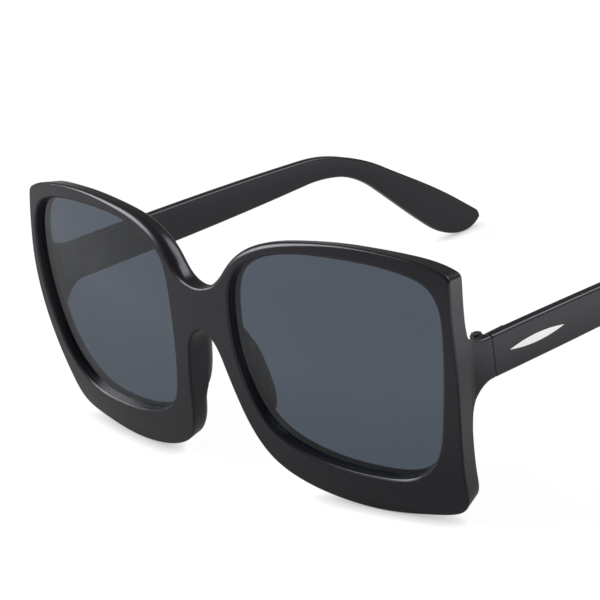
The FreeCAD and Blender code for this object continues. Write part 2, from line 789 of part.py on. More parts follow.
def front_frame():
    """The front in one piece, with soft edges, grooves, bevels, endpieces and rivet holes."""
    outline = walls("outline", front_wire)
    blank = common("blank", outline, shell("face_shell", "0"))
    plate = cut("plate", blank, shell("back_shell", "Sizes.front_thickness"))
    front_ring = edge_ring("front_ring", front_radius, 0, 1, FRONT_FLATS)
    back_ring = edge_ring("back_ring", back_radius, size("front_thickness"), -1, BACK_FLATS)
    soft_front = cut("soft_front", plate, front_ring)
    softened = cut("softened", soft_front, back_ring)
    opening = walls("opening", lambda plane: opening_wire(0, plane))
    half_open = cut("half_open", softened, opening)
    opened = cut("opened", half_open, mirror(opening, "right_opening"))
    doc.recompute()
    bevelled = add("Part::Chamfer", "bevelled", Base=opened, Edges=bevel_picks(opened))
    groove = band(
        "groove", size("groove_depth") + size("fit_gap"), "-Sizes.fit_gap",
        "Sizes.lens_thickness + Sizes.fit_gap")
    half_grooved = cut("half_grooved", bevelled, groove)
    grooved = cut("grooved", half_grooved, mirror(groove, "right_groove"))
    lug = cut("lug", endpiece(), rivet_holes("front_drilling", -1))
    return fuse("front_frame", grooved, lug, mirror(lug, "right_lug"))


def lens():
    """Lens with its edge in the groove all round."""
    return band("left_lens", size("groove_depth"), "0", "Sizes.lens_thickness")


left_parts = {
    "lens": lens(),
    "nose_pad": nose_pad(),
    "front_hinge": hinge("left_front_hinge", -1, (0, 2)),
    "front_rivets": rivets("left_front_rivets", -1),
    "temple_hinge": hinge("left_temple_hinge", 1, (1,)),
    "temple_rivets": rivets("left_temple_rivets", 1),
    "hinge_screw": hinge_screw("left_hinge_screw"),
    "temple": temple(),
    "temple_core": temple_core("left_temple_core", 0, size("fit_gap"),
                               temple_length() - size("core_end_cover")),
    "temple_inlay": inlay("left_temple_inlay", "0", "Sizes.inlay_depth + Sizes.inlay_proud"),
}
nodes = {"front_frame": front_frame()}
for word, item in left_parts.items():
    nodes[f"left_{word}"] = item
    nodes[f"right_{word}"] = mirror(item, f"right_{word}_image")
for label, item in nodes.items():
    item.Label = label
doc.recompute()

for item in doc.Objects:
    if "Invalid" in item.State or "Error" in item.State:
        raise RuntimeError(f"{item.Name} failed to build: {item.State}")
for label, item in nodes.items():
    if item.Shape.isNull() or not item.Shape.isValid():
        raise RuntimeError(f"{label} has no valid shape")

os.makedirs("parts", exist_ok=True)
for label, item in nodes.items():
    item.Shape.exportStep(f"parts/{label}.step")
    box = item.Shape.BoundBox
    print(f"{label}: {len(item.Shape.Solids)} solid, {item.Shape.Volume:.1f} mm3, "
          f"x {box.XMin:.1f}..{box.XMax:.1f} y {box.YMin:.1f}..{box.YMax:.1f} "
          f"z {box.ZMin:.1f}..{box.ZMax:.1f}")
print(f"hinge axis at x {axis_x:.3f}, y {seam_y:.3f}, z {stack_mid:.3f}")
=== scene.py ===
"""Looks of a pair of oversized square sunglasses: smooth pieces, finishes, studio and camera."""
import logging
import math
from dataclasses import dataclass
from enum import Enum
from typing import ClassVar

import bmesh
import bpy
import numpy as np
from mathutils import Matrix, Vector


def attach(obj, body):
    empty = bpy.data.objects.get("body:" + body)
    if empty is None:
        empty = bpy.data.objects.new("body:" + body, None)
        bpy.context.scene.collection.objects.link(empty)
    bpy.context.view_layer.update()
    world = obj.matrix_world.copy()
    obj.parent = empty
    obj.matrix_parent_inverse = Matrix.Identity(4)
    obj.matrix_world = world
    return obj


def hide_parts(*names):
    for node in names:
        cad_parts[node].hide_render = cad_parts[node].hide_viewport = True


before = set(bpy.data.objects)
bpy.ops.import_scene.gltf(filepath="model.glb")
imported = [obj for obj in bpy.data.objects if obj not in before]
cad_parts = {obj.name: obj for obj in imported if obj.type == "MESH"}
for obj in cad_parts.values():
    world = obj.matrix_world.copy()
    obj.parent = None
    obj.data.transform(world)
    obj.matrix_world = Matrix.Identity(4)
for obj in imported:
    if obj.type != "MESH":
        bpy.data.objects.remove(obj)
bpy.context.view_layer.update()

Array = np.ndarray
Value = bpy.types.NodeSocket | float | tuple[float, ...]
# A millimetre, and the gap within which points become one, both in metres.
MM = 0.001
WELD = 2e-7
log = logging.getLogger("sunglasses")


class Side(Enum):
    """Side of the wearer, with the sign of its x."""

    LEFT = 1
    RIGHT = -1

    @property
    def word(self) -> str:
        """Name that the nodes of this side start with."""
        return self.name.lower()

    @property
    def arm(self) -> str:
        """Body that swings on this side's hinge."""
        return f"{self.word}_arm"


def chord_knots(points: Array) -> Array:
    """Running chord length round a closed row of points, ending with the whole way round.

    Args:
        points: (n, 2) points of a closed outline.

    Returns:
        (n + 1,) knots that start at 0.
    """
    ring = np.vstack([points, points[:1]])
    steps = np.linalg.norm(np.diff(ring, axis=0), axis=1)
    return np.concatenate([[0.0], np.cumsum(steps)])


def closed_spline(points: Array, at: Array) -> Array:
    """Periodic cubic through points; its bends solve the cyclic three-term system of the knots.

    Args:
        points: (n, 2) points of a closed outline.
        at: (m,) chord lengths at which the curve is wanted.

    Returns:
        (m, 2) points of the curve.
    """
    count = len(points)
    knots = chord_knots(points)
    step = np.diff(knots)
    before = np.roll(step, 1)
    slope = (np.roll(points, -1, axis=0) - points) / step[:, None]
    index = np.arange(count)
    system = np.zeros((count, count))
    system[index, index] = 2 * (before + step)
    system[index, (index - 1) % count] = before
    system[index, (index + 1) % count] = step
    bend = np.linalg.solve(system, 6 * (slope - np.roll(slope, 1, axis=0)))
    at = np.mod(at, knots[-1])
    here = np.clip(np.searchsorted(knots, at, side="right") - 1, 0, count - 1)
    following = (here + 1) % count
    width = step[here][:, None]
    gone = (at - knots[here])[:, None]
    left = width - gone
    cubic = (bend[here] * left ** 3 + bend[following] * gone ** 3) / (6 * width)
    start = (points[here] / width - bend[here] * width / 6) * left
    end = (points[following] / width - bend[following] * width / 6) * gone
    return cubic + start + end


def end_direction(points: Array) -> Array:
    """Unit direction at the last of four points: the slope there of the cubic through them.

    Args:
        points: (4, 2) points.

    Returns:
        (2,) unit vector.
    """
    run = np.concatenate([[0.0], np.cumsum(np.linalg.norm(np.diff(points, axis=0), axis=1))])
    fit = np.polyfit(run, points, 3)
    slope = 3 * fit[0] * run[-1] ** 2 + 2 * fit[1] * run[-1] + fit[2]
    return slope / np.linalg.norm(slope)


def outward_of(curve: Array) -> Array:
    """Unit vectors on the left of the way along a curve, by differences between neighbours.

    Args:
        curve: (n, 2) points in order.

    Returns:
        (n, 2) unit vectors.
    """
    along = np.gradient(curve, axis=0)
    along /= np.linalg.norm(along, axis=1)[:, None]
    return np.stack([-along[:, 1], along[:, 0]], axis=1)


def between(first: Array | float, second: Array | float, share: Array | float) -> Array:
    """Straight blend from the first value to the second."""
    return first + (second - first) * share


def eased(value: Array, low: float, high: float) -> Array:
    """Smooth step from 0 at low to 1 at high."""
    share = np.clip((value - low) / (high - low), 0.0, 1.0)
    return share * share * (3 - 2 * share)


def even_rows(curve: Array, knots: Array, pace: float, turn: float) -> Array:
    """Parameters along a curve, evenly spread over its length and its turning together.

    Args:
        curve: (n, 2) dense points.
        knots: (n,) their parameters.
        pace: length between rows on a straight run.
        turn: turning in radians between rows on a tight bend.

    Returns:
        Parameters from the first knot to the last.
    """
    along = np.diff(curve, axis=0)
    heading = np.unwrap(np.arctan2(along[:, 1], along[:, 0]))
    length = np.linalg.norm(along, axis=1) / pace
    bending = np.abs(np.diff(heading, prepend=heading[0])) / turn
    measure = np.concatenate([[0.0], np.cumsum(length + bending)])
    wanted = np.linspace(0.0, measure[-1], int(measure[-1]) + 1)
    return np.interp(wanted, measure, knots)


def grid_quads(rows: int, columns: int, closed_rows: bool, closed_columns: bool) -> Array:
    """Corners of the cells of a grid whose points are numbered row by row.

    Args:
        rows: number of rows.
        columns: number of points in a row.
        closed_rows: whether the last row joins the first.
        closed_columns: whether the last point of a row joins its first.

    Returns:
        (row cells, column cells, 4) point numbers.
    """
    row = np.arange(rows if closed_rows else rows - 1)[:, None]
    column = np.arange(columns if closed_columns else columns - 1)[None, :]
    next_row = (row + 1) % rows
    next_column = (column + 1) % columns
    corners = [
        row * columns + column, row * columns + next_column,
        next_row * columns + next_column, next_row * columns + column,
    ]
    return np.stack(np.broadcast_arrays(*corners), axis=-1)


def mesh_piece(name: str, points: Array, faces: list, crease: float) -> bpy.types.Object:
    """Object at the origin from points in millimetres, welded, outward and smooth up to a crease.

    Args:
        name: name of the piece.
        points: (n, 3) points.
        faces: lists of point numbers.
        crease: angle in degrees above which an edge stays sharp.

    Returns:
        The new object.
    """
    mesh = bpy.data.meshes.new(name)
    mesh.from_pydata((points * MM).tolist(), [], faces)
    work = bmesh.new()
    work.from_mesh(mesh)
    bmesh.ops.remove_doubles(work, verts=work.verts, dist=WELD)
    loose = [vert for vert in work.verts if not vert.link_faces]
    bmesh.ops.delete(work, geom=loose, context="VERTS")
    bmesh.ops.recalc_face_normals(work, faces=work.faces)
    work.to_mesh(mesh)
    work.free()
    mesh.polygons.foreach_set("use_smooth", np.ones(len(mesh.polygons), dtype=bool))
    mesh.set_sharp_from_angle(angle=math.radians(crease))
    mesh.update()
    piece = bpy.data.objects.new(name, mesh)
    bpy.context.scene.collection.objects.link(piece)
    log.info("%s: %d faces", name, len(mesh.polygons))
    return piece


def spun_piece(name: str, points: Array, crease: float) -> bpy.types.Object:
    """Closed piece from rings of points, each end filled to the middle of its ring.

    Args:
        name: name of the piece.
        points: (around, along, 3) points, closed around.
        crease: angle in degrees above which an edge stays sharp.

    Returns:
        The new object.
    """
    around, along = points.shape[:2]
    quads = grid_quads(around, along, True, False).reshape(-1, 4)
    flat = points.reshape(-1, 3)
    poles = np.stack([points[:, 0].mean(axis=0), points[:, -1].mean(axis=0)])
    ring = np.arange(around) * along
    following = np.roll(ring, -1)
    first = np.stack([np.full(around, len(flat)), ring, following], axis=1)
    last = np.stack([np.full(around, len(flat) + 1), following + along - 1, ring + along - 1], axis=1)
    faces = quads.tolist() + first.tolist() + last.tolist()
    return mesh_piece(name, np.vstack([flat, poles]), faces, crease)


@dataclass(frozen=True)
class CurvedFace:
    """Front face: a ring surface that wraps round the head and is crowned from top to bottom."""

    ring_radius: float = 168.0
    base_radius: float = 126.0
    crest: float = 39.0
    foremost: float = -81.858

    def at(self, place: Array, depth: Array | float) -> Array:
        """Points behind the face: the face point at (x, z), moved back square to the face.

        Args:
            place: (n, 2) x and z on the face.
            depth: distance behind the face.

        Returns:
            (n, 3) points.
        """
        x, z = place[:, 0], place[:, 1]
        rise = z - self.crest
        inward = np.sqrt(self.base_radius ** 2 - rise ** 2)
        reach = self.ring_radius + inward
        across = x / reach
        ahead = np.sqrt(1 - across ** 2)
        y = self.foremost + self.ring_radius + self.base_radius - reach * ahead
        normal = np.stack([-inward * across, inward * ahead, -rise], axis=1) / self.base_radius
        return np.stack([x, y, z], axis=1) + normal * np.broadcast_to(depth, x.shape)[:, None]


@dataclass(frozen=True)
class FrontSizes:
    """Sizes in millimetres that the front and the lenses share."""

    half_gap: float = 10.5
    opening_width: float = 59.4
    opening_height: float = 52.5
    rim_bottom: float = 9.65
    top: float = 65.2
    bridge_dip: float = 15.5
    half_width: float = 73.0
    arch: float = 39.4
    thickness: float = 5.8
    top_corner: tuple[float, float] = (72.3, 60.7)
    low_corner: tuple[float, float] = (67.5, 3.3)
    low_corner_inset: float = 5.4
    top_corner_run: float = 1.6
    low_corner_run: float = 4.4

    @property
    def dip(self) -> float:
        """Height of the dip of the bridge."""
        return self.top - self.bridge_dip

    @property
    def centre(self) -> Array:
        """Middle of the left lens opening, in x and z."""
        return np.array([
            self.half_gap + self.opening_width / 2, self.rim_bottom + self.opening_height / 2])


class Outlines:
    """The front's outer outline and its left lens opening, as shares of the front's sizes."""

    BROW = ((0.53, 0.125), (0.87, 0.39), (1.24, 0.62), (1.77, 0.80))
    CROWN = ((0.355, 0.96), (0.605, 1.0), (0.83, 0.93))
    TEMPORAL = ((0.07, 0.80), (0.0, 0.655), (0.10, 0.51), (0.43, 0.32), (0.77, 0.155))
    CHIN = ((0.795, 0.13), (0.58, 0.0), (0.37, 0.09), (0.19, 0.38), (0.065, 0.87))
    NOSE = ((1.05, 0.35), (0.77, 0.60), (0.59, 0.79), (0.34, 0.945))
    OPENING = (
        (0.0, 0.692), (0.039, 0.862), (0.155, 0.946), (0.53, 1.0), (0.84, 0.966), (0.951, 0.910),
        (0.982, 0.858), (1.0, 0.721), (0.955, 0.332), (0.894, 0.148), (0.78, 0.035), (0.581, 0.0),
        (0.274, 0.047), (0.114, 0.146), (0.039, 0.31),
    )
    CORNER_POINTS = 5
    DENSE = 6000

    def __init__(self, sizes: FrontSizes) -> None:
        """Work out both outlines.

        Args:
            sizes: sizes of the front.
        """
        self.sizes = sizes
        self.outer = self._outer_points()
        way = np.linspace(0.0, chord_knots(self.outer)[-1], self.DENSE)
        self.outer_curve = closed_spline(self.outer, way)
        opening = np.array(self.OPENING) * [sizes.opening_width, sizes.opening_height]
        opening += [sizes.half_gap, sizes.rim_bottom]
        way = np.linspace(0.0, chord_knots(opening)[-1], self.DENSE, endpoint=False)
        curve = closed_spline(opening, way)
        ring = np.vstack([curve[-1:], curve, curve[:1]])
        outward = outward_of(ring)[1:-1]
        spoke = curve - sizes.centre
        outward *= np.sign(np.sum(outward * spoke, axis=1))[:, None]
        angle = np.arctan2(spoke[:, 1], spoke[:, 0])
        order = np.argsort(angle)
        self.opening_angle = angle[order]
        self.opening_curve = curve[order]
        self.opening_outward = outward[order]

    def opening_at(self, angle: Array, grow: float) -> Array:
        """Points of the opening's outline, grown outwards, at angles about its middle.

        Args:
            angle: (n,) angles.
            grow: distance moved outwards.

        Returns:
            (n, 2) x and z.
        """
        grown = self.opening_curve + self.opening_outward * grow
        turn = 2 * math.pi
        x = np.interp(angle, self.opening_angle, grown[:, 0], period=turn)
        z = np.interp(angle, self.opening_angle, grown[:, 1], period=turn)
        return np.stack([x, z], axis=1)

    def temporal_at(self, height: Array) -> Array:
        """Points of the outer outline's temporal side at given heights.

        Args:
            height: (n,) z between the two temporal corners.

        Returns:
            (n, 2) x and z.
        """
        curve = self.outer_curve
        side = curve[curve[:, 0] > self.sizes.low_corner[0]]
        side = side[np.argsort(side[:, 1])]
        return np.stack([np.interp(height, side[:, 1], side[:, 0]), height], axis=1)

    def nose_at(self, height: Array) -> Array:
        """Half the gap between the rims under the arch at given heights.

        Args:
            height: (n,) z between the lower end of the nose side and the arch.

        Returns:
            (n,) x.
        """
        curve = self.outer_curve
        beside = (curve[:, 0] > 0.0) & (curve[:, 0] < self.sizes.half_gap)
        side = curve[beside & (curve[:, 1] < self.sizes.arch)]
        side = side[np.argsort(side[:, 1])]
        return np.interp(height, side[:, 1], side[:, 0])

    def _soft_corner(self, before: Array, after: Array, run: float) -> Array:
        """Parabola that leaves one curve a run before their common corner and joins the other after.

        Args:
            before: last four points of the first curve, ending at the corner.
            after: first four points of the second, starting at the corner.
            run: distance from the corner at which the parabola touches each curve.

        Returns:
            (n, 2) points.
        """
        corner = before[-1]
        start = corner - end_direction(before) * run
        end = corner - end_direction(after[::-1]) * run
        share = np.linspace(0.0, 1.0, self.CORNER_POINTS)[:, None]
        return start * (1 - share) ** 2 + corner * 2 * share * (1 - share) + end * share ** 2

    def _outer_points(self) -> Array:
        """Points of the outer outline, from the dip of the bridge round the left half and back.

        Returns:
            (n, 2) x and z.
        """
        sizes = self.sizes
        over = np.array([sizes.opening_width, sizes.bridge_dip])
        brow = np.array(self.BROW) * [sizes.half_gap, sizes.bridge_dip] + [0.0, sizes.dip]
        crown = np.array(self.CROWN) * over + [sizes.half_gap, sizes.dip]
        side = np.array(self.TEMPORAL) * [-sizes.low_corner_inset, sizes.top]
        side += [sizes.half_width, 0.0]
        chin = np.array(self.CHIN) * [sizes.opening_width, sizes.rim_bottom] + [sizes.half_gap, 0.0]
        nose = np.array(self.NOSE) * [sizes.half_gap, sizes.arch]
        top = np.array([sizes.top_corner])
        low = np.array([sizes.low_corner])
        top_turn = self._soft_corner(
            np.vstack([crown, top]), np.vstack([top, side[:3]]), sizes.top_corner_run)
        low_turn = self._soft_corner(
            np.vstack([side[-3:], low]), np.vstack([low, chin[:3]]), sizes.low_corner_run)
        left = np.vstack([brow, crown, top_turn, side, low_turn, chin, nose])
        right = left[::-1] * [-1.0, 1.0]
        return np.vstack([[[0.0, sizes.dip]], left, [[0.0, sizes.arch]], right])


@dataclass
class FrontFrame:
    """The moulded front: one closed profile carried round each lens opening, welded at the bridge."""

    ACROSS: ClassVar[tuple[float, ...]] = (0.0, 0.03, 0.1, 0.22, 0.36, 0.5, 0.64, 0.78, 0.9, 0.97, 1.0)
    OUTER_WALL: ClassVar[tuple[float, ...]] = (0.05, 0.3, 0.7, 0.95)
    OPENING_WALL: ClassVar[tuple[float, ...]] = (0.06, 0.35, 0.65, 0.94)

    sizes: FrontSizes
    outlines: Outlines
    face: CurvedFace
    brow_round: float = 2.0
    brow_drop: float = 1.5
    brow_back_round: float = 2.6
    brow_soft_start: float = 9.0
    brow_crisp: float = 2.0
    brow_soft_end: float = 48.0
    edge_round: float = 0.6
    back_round: float = 0.5
    nose_back_round: float = 2.4
    bevel: float = 0.4
    bevel_soft: float = 0.12
    opening_back_round: float = 1.2
    nose_ease_x: tuple[float, float] = (14.0, 22.0)
    nose_ease_z: tuple[float, float] = (16.0, 22.0)
    endpiece_low: tuple[float, float] = (22.0, 26.0)
    endpiece_high: tuple[float, float] = (46.0, 49.0)
    pad_low: tuple[float, float] = (19.0, 23.0)
    pad_high: tuple[float, float] = (36.0, 39.0)
    buried_round: float = 0.06
    below_dip: float = 0.1
    middle_rows: int = 14
    edge_rows: int = 9
    corner_rows: int = 5
    row_pace: float = 0.8
    row_turn: float = math.radians(4.0)
    crease: float = 32.0

    def build(self, finish: bpy.types.Material) -> bpy.types.Object:
        """Make the front and dress it.

        Args:
            finish: material of the front.

        Returns:
            The front.
        """
        points, quads = self._half()
        mirrored = points * [-1.0, 1.0, 1.0]
        faces = quads.tolist() + (quads[:, ::-1] + len(points)).tolist()
        piece = mesh_piece("moulded_front", np.vstack([points, mirrored]), faces, self.crease)
        piece.data.materials.append(finish)
        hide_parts("front_frame")
        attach(piece, "front")
        return piece

    def _round(self, place: Array, full: float, plain: float, start: float, end: float) -> Array:
        """Edge radius: full along the brow to the start, easing to plain at the end and below.

        Args:
            place: (n, 2) points of the outline.
            full: radius along the brow.
            plain: radius elsewhere.
            start: x at which the easing starts.
            end: x at which it ends.

        Returns:
            (n,) radii.
        """
        share = np.clip((np.abs(place[:, 0]) - start) / (end - start), 0.0, 1.0)
        share = np.where(place[:, 1] < self.sizes.dip - self.below_dip, 1.0, share)
        return plain + (full - plain) * (1 + np.cos(math.pi * share)) / 2

    def _edge_rounds(self, outline: Array) -> tuple[Array, Array, Array]:
        """Rounding of the outer edge along the outline.

        The front edge is an ellipse that is full beside the bridge and plain elsewhere. The back
        edge is full along the brow and low on the nose, and sharp where a lug or a pad joins it.

        Args:
            outline: (n, 2) points of the outline's rows.

        Returns:
            Inset and drop of the front edge, and radius of the back edge.
        """
        sizes = self.sizes
        x, z = outline[:, 0], outline[:, 1]
        inset = self._round(outline, self.brow_round, self.edge_round, 0.0, self.brow_soft_end)
        inset = between(inset, self.edge_round, 1 - eased(x, self.brow_crisp, self.brow_soft_start))
        swell = (inset - self.edge_round) / (self.brow_round - self.edge_round)
        drop = inset * between(np.ones_like(swell), self.brow_drop, swell)
        back = self._round(
            outline, self.brow_back_round, self.back_round, self.brow_soft_end,
            sizes.top_corner[0] - sizes.top_corner_run)
        nasal = (1 - eased(x, *self.nose_ease_x)) * (1 - eased(z, *self.nose_ease_z))
        back = between(back, self.nose_back_round, nasal)
        lug = eased(z, *self.endpiece_low) * (1 - eased(z, *self.endpiece_high)) * (x > sizes.centre[0])
        back = between(back, self.buried_round, lug)
        padded = eased(z, *self.pad_low) * (1 - eased(z, *self.pad_high)) * (x < sizes.half_gap)
        return inset, drop, between(back, self.buried_round, padded)

    def _opening_columns(self, angle: Array) -> list[tuple[Array, float]]:
        """Columns through the opening: a round lip at the back, a straight wall and a softened bevel.

        Args:
            angle: (n,) angle of each row about the middle of the opening.

        Returns:
            For each column its (n, 2) places and its depth.
        """
        thickness = self.sizes.thickness
        lip = self.opening_back_round
        bevel = self.bevel
        deep = bevel + self.bevel_soft
        slant = self.bevel_soft * math.sqrt(0.5)
        steps = []
        for turn in np.linspace(0.0, math.pi / 2, self.corner_rows)[1:]:
            steps.append((lip * (1 - math.sin(turn)), thickness - lip * (1 - math.cos(turn))))
        steps += [(0.0, between(thickness - lip, deep, s)) for s in self.OPENING_WALL]
        corners = (
            ((0.0, deep), (0.0, bevel), (slant, bevel - slant)),
            ((bevel - slant, slant), (bevel, 0.0), (deep, 0.0)),
        )
        for number, corner in enumerate(corners):
            start, bend, end = (np.array(p) for p in corner)
            for s in np.linspace(0.0, 1.0, self.corner_rows)[: self.corner_rows - number]:
                steps.append(start * (1 - s) ** 2 + bend * 2 * s * (1 - s) + end * s ** 2)
        return [(self.outlines.opening_at(angle, grow), depth) for grow, depth in steps]

    def _half(self) -> tuple[Array, Array]:
        """Left half of the front as a grid: rows round the opening, columns round the profile.

        The rows run along the outline from the dip to the arch and back up the middle plane. In a
        row the profile goes over the front face, round the outer edge, over the back face and
        through the opening. On the middle plane the outer edge is left out, and the halves meet.

        Returns:
            Points and quads.
        """
        sizes = self.sizes
        knots = chord_knots(self.outlines.outer)
        way = np.linspace(0.0, knots[len(self.outlines.outer) // 2], self.outlines.DENSE)
        dense = closed_spline(self.outlines.outer, way)
        rows = even_rows(dense, way, self.row_pace, self.row_turn)
        outline = closed_spline(self.outlines.outer, rows)
        outline[[0, -1], 0] = 0.0
        outward = outward_of(outline)
        outward[0], outward[-1] = (0.0, 1.0), (0.0, -1.0)
        front_round, front_drop, back_round = self._edge_rounds(outline)
        share = np.linspace(0.0, 1.0, self.middle_rows + 2)[1:-1]
        middle = np.stack([0 * share, between(sizes.arch, sizes.dip, share)], axis=1)

        def with_middle(edge: Array) -> Array:
            """Edge points of the outline's rows, then of the rows up the middle plane."""
            up = between(edge[-1, 1], edge[0, 1], share)
            return np.vstack([edge, np.stack([0 * share, up], axis=1)])

        def edge_column(inset: Array, depth: Array) -> tuple[Array, Array]:
            """Column on the outer edge, moved in over the face and down through the plate."""
            return with_middle(outline - outward * inset[:, None]), np.append(depth, 0 * share)

        spoke = np.vstack([outline, middle]) - sizes.centre
        angle = np.arctan2(spoke[:, 1], spoke[:, 0])
        columns: list[tuple[Array, Array | float]] = []
        front_inner = self.outlines.opening_at(angle, self.bevel + self.bevel_soft)
        front_outer = with_middle(outline - outward * front_round[:, None])
        columns += [(between(front_inner, front_outer, s), 0.0) for s in self.ACROSS]
        edge_start = len(columns) - 1
        turns = np.linspace(0.0, math.pi / 2, self.edge_rows)
        for turn in turns[1:]:
            columns.append(edge_column(
                front_round * (1 - math.sin(turn)), front_drop * (1 - math.cos(turn))))
        for s in self.OUTER_WALL:
            depth = between(front_drop, sizes.thickness - back_round, s)
            columns.append(edge_column(0 * depth, depth))
        for turn in turns[:-1]:
            columns.append(edge_column(
                back_round * (1 - math.cos(turn)), sizes.thickness - back_round * (1 - math.sin(turn))))
        edge_end = len(columns)
        back_outer = with_middle(outline - outward * back_round[:, None])
        back_inner = self.outlines.opening_at(angle, self.opening_back_round)
        columns += [(between(back_outer, back_inner, s), sizes.thickness) for s in self.ACROSS]
        columns += self._opening_columns(angle)
        grid = np.stack([self.face.at(place, depth) for place, depth in columns], axis=1)
        grid[len(outline):, edge_start:edge_end + 1, 0] = 0.0
        grid[[0, len(outline) - 1], edge_start:edge_end + 1, 0] = 0.0
        quads = grid_quads(len(angle), len(columns), True, True)
        keep = np.ones(quads.shape[:2], dtype=bool)
        keep[len(outline) - 1:, edge_start:edge_end] = False
        return grid.reshape(-1, 3), quads[keep]


@dataclass(frozen=True)
class TempleSizes:
    """Sizes in millimetres of a temple and of the endpiece that it meets."""

    seam: float = -59.649
    seam_gap: float = 0.1
    level: float = 38.4
    outer: float = 71.56
    height: float = 9.9
    thickness: float = 2.8
    droop: float = math.radians(1.7)
    straight: float = 77.0
    bend_radius: float = 47.0
    bend: float = math.radians(37.9)
    tip_length: float = 43.7
    waist_at: float = 92.0
    waist: float = 5.4
    flare_at: float = 140.0
    tip_height: float = 11.2
    tip_thickness: float = 2.4
    cap_top: float = 2.0
    cap_low: float = 17.0
    tip_point: float = 0.75
    taper_power: float = 2.4
    edge_round: float = 0.75
    endpiece_length: float = 13.0

    @property
    def length(self) -> float:
        """Length of the centre line."""
        return self.straight + self.bend_radius * (self.bend - self.droop) + self.tip_length


def rounded_section(count: int) -> tuple[Array, Array, Array, Array]:
    """Round of a rounded rectangle: each point's side across and up, and its corner offset.

    Four quarter circles, each seen from its own corner, joined by straight sides.

    Args:
        count: points in a quarter circle.

    Returns:
        Signs across, signs up, cosines and sines, each (4 * count,).
    """
    quarter = np.linspace(0.0, math.pi / 2, count)
    angle = np.concatenate([quarter + k * math.pi / 2 for k in range(4)])
    across = np.repeat([1.0, -1.0, -1.0, 1.0], count)
    upward = np.repeat([1.0, 1.0, -1.0, -1.0], count)
    return across, upward, np.cos(angle), np.sin(angle)


